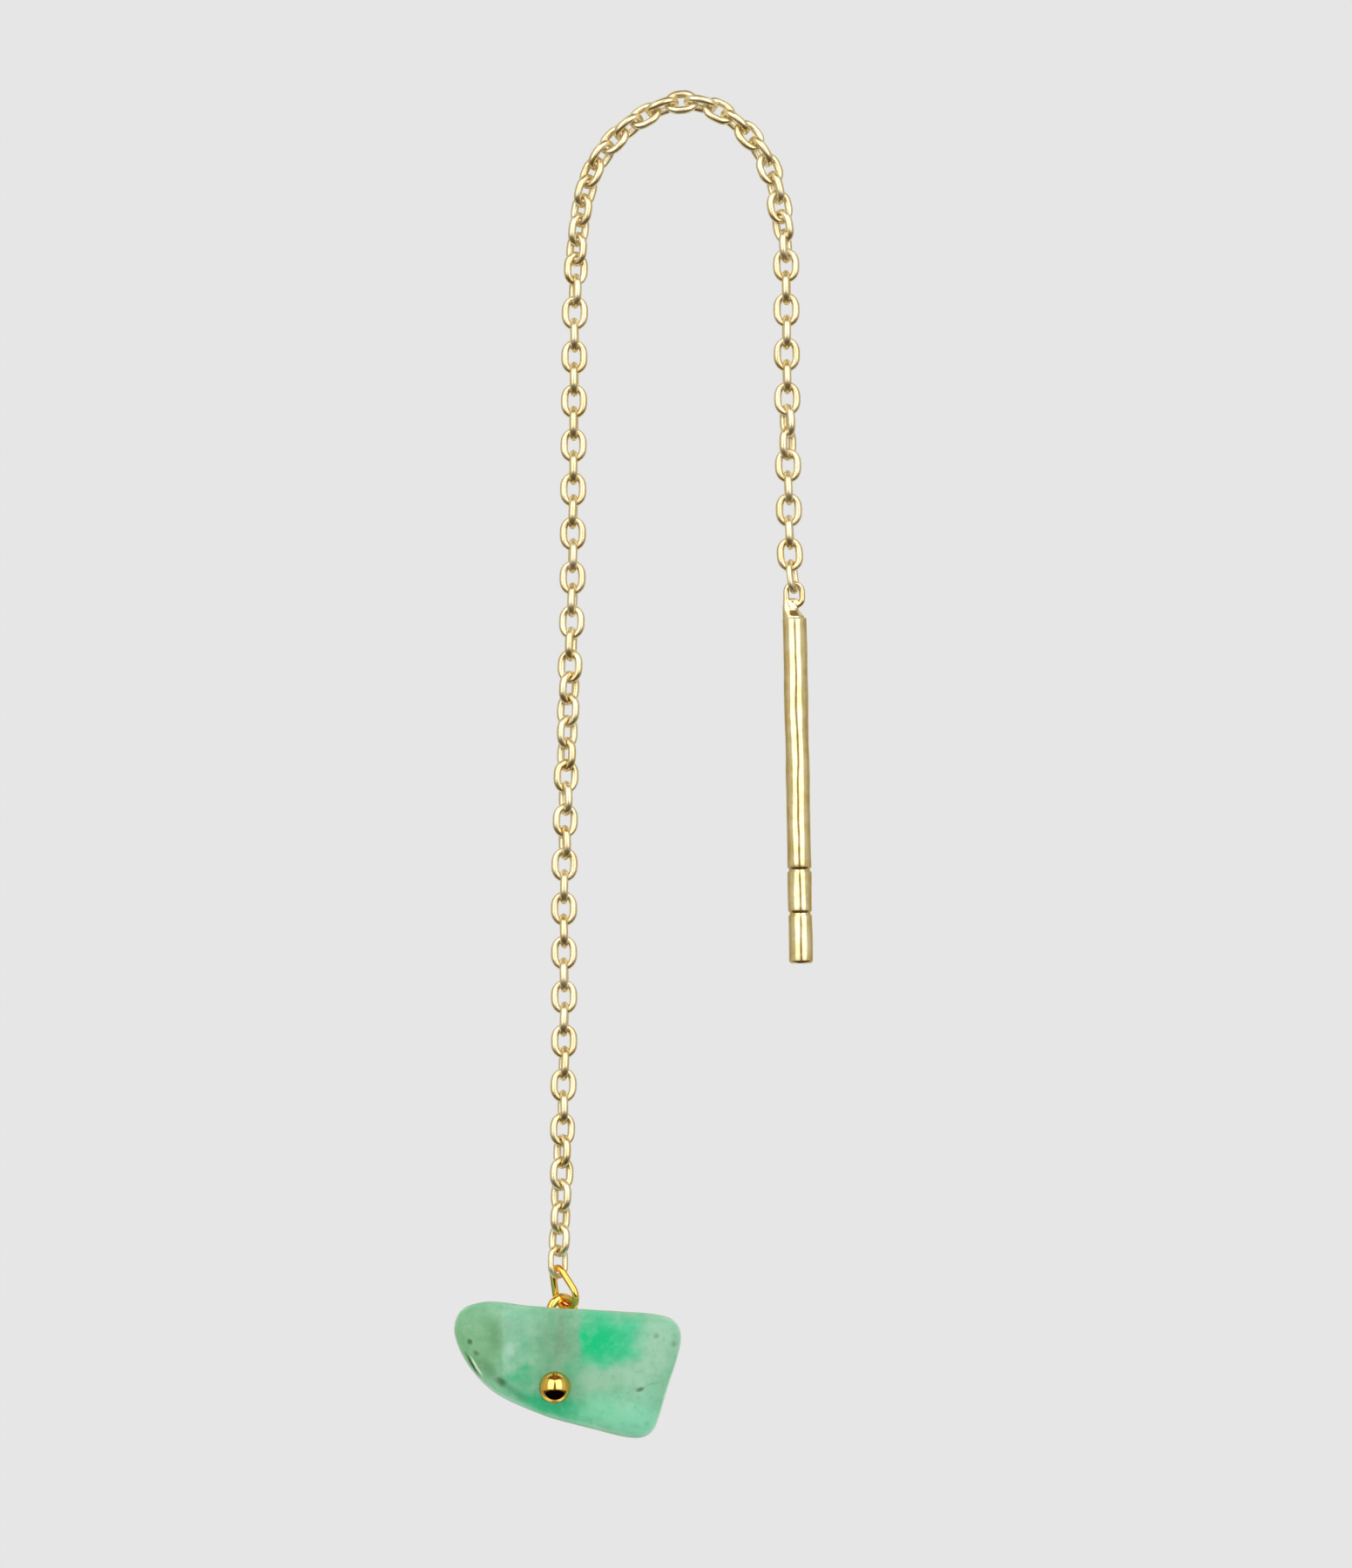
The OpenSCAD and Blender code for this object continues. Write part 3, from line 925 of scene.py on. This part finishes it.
stone_shape = bmesh.new()
stone_shape.from_mesh(frame["nodes"]["stone"].data)
bmesh.ops.remove_doubles(stone_shape, verts=stone_shape.verts, dist=0.002 * MM)
bmesh.ops.scale(stone_shape, vec=(1 / MM, 1 / MM, 1 / MM), verts=stone_shape.verts)
stone_low, stone_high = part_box("stone")
stone_middle = (stone_low + stone_high) / 2 / MM
stone_shape = fused(stone_shape, STONE_VOXEL, STONE_SMOOTHING)
stone_shape.normal_update()
for vert in stone_shape.verts:
    press = sum(deep * (1 + noise.noise(vert.co * quick)) for deep, quick in PRESSES)
    vert.co -= vert.normal * press
# Stretched again to the CAD stone's own width, depth and height
for axis in range(3):
    reach = max(abs(vert.co[axis] - stone_middle[axis]) for vert in stone_shape.verts)
    grow = Matrix.Identity(4)
    grow[axis][axis] = (stone_high[axis] - stone_low[axis]) / 2 / MM / reach
    bmesh.ops.transform(
        stone_shape, matrix=grow, space=Matrix.Translation(-stone_middle), verts=stone_shape.verts
    )

# %% [markdown]
# Its colour is a pale mint that runs from milky to clear, with one emerald patch, an
# olive zone at the left and a few dark specks. Such a stone is a translucent quartz,
# so some light enters and spreads. The patches are soft ellipses, each placed in
# millimetres from the drilled hole, and a noise bends their edges.
# A grey band above the hole is painted shade, where the pin's tail runs up behind the stone.
# A thin white streak along its lower left edge is a painted highlight.

# %% Patches of the stone
# Each row: right of the hole, above it, half width, half height, tilt, softness, colour, strength
# Painted shade: the pin's tail runs up behind the stone, and these two rows draw it as a grey band
# seen through the quartz
PAINTED_PIN_SHADE = [
    (0.2, 1.9, 1.1, 1.5, 0, 0.7, "#82ba93", 0.8),
    (0.2, 2.05, 0.16, 0.95, 0, 0.8, "#8c9f85", 0.4),
]
# The emerald patch starts at a plane in the quartz, and the olive zone ends at one
EMERALD_EDGE = (0.85, 1.05)
EMERALD = [
    (2.0, 1.7, 1.75, 1.0, 5, 0.4, "#4cdaa2", 0.85),
    (1.65, 1.75, 1.05, 0.68, 0, 0.7, "#10d78e", 1.0),
    (1.2, 2.6, 1.0, 0.4, 0, 0.8, "#46d498", 0.7),
]
PATCHES = [
    (0.85, 0.5, 0.55, 0.6, 0, 0.8, "#5cc894", 0.65),
    (-1.3, 0.42, 0.7, 0.32, 15, 0.7, "#45c48c", 0.8),
    (-0.05, -0.68, 1.6, 0.5, -18, 0.7, "#2ec88b", 0.95),
    (1.9, -0.95, 1.4, 0.7, -12, 0.8, "#90eabd", 0.8),
    (3.3, -1.3, 0.9, 0.8, 0, 0.8, "#90e4c0", 0.8),
    (3.9, 1.6, 0.8, 1.0, 0, 0.8, "#aedabd", 0.8),
    (2.4, 0.45, 1.9, 0.45, 8, 0.8, "#aadaba", 0.75),
    (-1.65, 1.5, 0.28, 0.22, 0, 0.8, "#c3e6d1", 0.7),
    (-1.5, 2.2, 0.5, 0.35, 0, 0.9, "#9fcdb1", 0.6),
]
OLIVE_EDGE = (-1.92, -2.04)
OLIVE = [(-3.0, 1.6, 1.4, 1.8, 0, 0.6, "#84bf8a", 0.9)]
SPECKS_AND_PAINTED_HIGHLIGHT = [
    (-2.35, 1.9, 0.32, 0.7, 0, 0.9, "#66a06b", 0.6),
    (-2.6, 0.75, 0.6, 0.25, -50, 0.8, "#63996a", 0.5),
    (-2.03, 0.15, 0.26, 0.17, -25, 0.7, "#45733f", 0.85),
    (-1.5, -0.2, 0.55, 0.16, -28, 0.9, "#4b9a68", 0.5),
    (-3.23, 1.76, 0.1, 0.12, 0, 0.7, "#3c6a38", 0.9),
    (-2.98, 1.3, 0.13, 0.1, -30, 0.7, "#5b8444", 0.75),
    # A white streak along the lower left edge is a painted highlight, and a thin dark line is painted
    # beside it
    (-3.15, 0.86, 0.55, 0.055, -59, 0.5, "#3d5f2c", 0.9),
    (-2.98, 0.78, 0.5, 0.045, -59, 0.5, "#f2f8ea", 0.95),
    (3.21, -0.09, 0.18, 0.08, 15, 0.6, "#4c7552", 0.85),
    (3.75, 0.12, 0.55, 0.03, 22, 0.7, "#86ab8e", 0.5),
    (3.85, 1.93, 0.12, 0.1, 0, 0.8, "#7fa48d", 0.7),
    (4.5, 1.6, 0.1, 0.12, 0, 0.8, "#6f9a82", 0.6),
    (0.22, 1.5, 0.05, 0.5, -82, 0.8, "#a3b092", 0.3),
]

# %% Stone material
material, tree = new_material("polished translucent green quartz")
place = add_node(tree, "TexCoord").outputs["Object"]
in_mm = add_node(tree, "Mapping", {
    "Vector": place, "Scale": (1 / MM, 1 / MM, 1 / MM), "Location": [-v for v in pin_at],
}).outputs[0]
warp = add_node(tree, "TexNoise", {"Vector": in_mm, "Scale": 1.1, "Detail": 3})
warp_way = add_node(
    tree, "VectorMath", {0: warp.outputs["Color"], 1: (0.5, 0.5, 0.5)}, operation="SUBTRACT"
).outputs[0]


def bent(reach):
    """Places in millimetres from the hole, bent by the noise as far as the reach."""
    moved = add_node(tree, "VectorMath", {0: warp_way, "Scale": reach}, operation="SCALE")
    return add_node(tree, "VectorMath", {0: in_mm, 1: moved.outputs[0]}, operation="ADD").outputs[0]


def patch_share(where, right, up, wide, high, tilt, soft, strength):
    """How strongly a soft ellipse covers a point. Its wide axis tilts from level towards up."""
    flat = add_node(tree, "Mapping", {
        "Vector": where, "Location": (right, 0, up), "Rotation": (0, math.radians(-tilt), 0),
        "Scale": (wide, 50, high),
    }, vector_type="TEXTURE")
    reach = add_node(tree, "VectorMath", {0: flat.outputs[0]}, operation="LENGTH")
    edge = (1 + soft * 0.6, 1 - soft)
    return share_of(tree, reach.outputs["Value"], edge, full=strength, smooth=True)


def laid_over(colour, rows, where, part=None):
    """Lays rows of patches over a colour, only on one side of a plane if its share is given."""
    for *shape, tint, strength in rows:
        share = patch_share(where, *shape, strength)
        if part:
            share = times(tree, share, part)
        colour = blend(tree, share, colour, tint)
    return colour


warped = bent(0.9)
crisp = bent(0.25)
rightward = add_node(tree, "SeparateXYZ", {0: crisp}).outputs[0]
cloud = add_node(
    tree, "TexNoise", {"Vector": warped, "Scale": 0.9, "Detail": 6, "Roughness": 0.62}
).outputs[0]
mottle = add_node(
    tree, "TexNoise", {"Vector": crisp, "Scale": 2.8, "Detail": 5, "Roughness": 0.7}
).outputs[0]
mint = [(0.32, "#80cba2"), (0.5, "#93d3ad"), (0.68, "#a9dbba")]
colour = add_node(tree, "ValToRGB", {0: cloud}, stops=mint).outputs[0]
# Painted shade of the pin's tail behind the stone
colour = laid_over(colour, PAINTED_PIN_SHADE, warped)
colour = laid_over(colour, EMERALD, warped, share_of(tree, rightward, EMERALD_EDGE))
colour = laid_over(colour, PATCHES, warped)
colour = laid_over(colour, OLIVE, warped, share_of(tree, rightward, OLIVE_EDGE))
# Dark specks, and a painted highlight along the lower left edge
colour = laid_over(colour, SPECKS_AND_PAINTED_HIGHLIGHT, crisp)
milky = share_of(tree, mottle, (0.5, 0.72), full=0.2)
colour = blend(tree, milky, colour, "#cdebd8")
clear = share_of(tree, mottle, (0.48, 0.28), full=0.35)
colour = blend(tree, clear, colour, "#5da881")
pits = add_node(tree, "TexNoise", {"Vector": in_mm, "Scale": 2.5, "Detail": 4})
bump = add_node(tree, "Bump", {
    "Height": pits.outputs[0], "Strength": 0.25, "Distance": 0.03 * MM,
})
gloss = add_node(tree, "MapRange", {0: cloud, 3: 0.12, 4: 0.26})
add_surface(tree, "BsdfPrincipled", {
    "Base Color": colour, "Roughness": gloss.outputs[0], "IOR": 1.54, "Specular IOR Level": 0.22,
    "Normal": bump.outputs[0], "Subsurface Weight": 0.4, "Subsurface Radius": (0.5, 1, 0.7),
    "Subsurface Scale": 0.4 * MM,
})
print("Stone material of", len(tree.nodes), "nodes")
stone_chip = new_piece("stone_chip", stone_shape, material)
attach(stone_chip, "pendant")
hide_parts("stone")

# %% [markdown]
# ## The view
#
# The standard view keeps the background at its own grey.

# %% View
bpy.context.scene.view_settings.view_transform = "Standard"
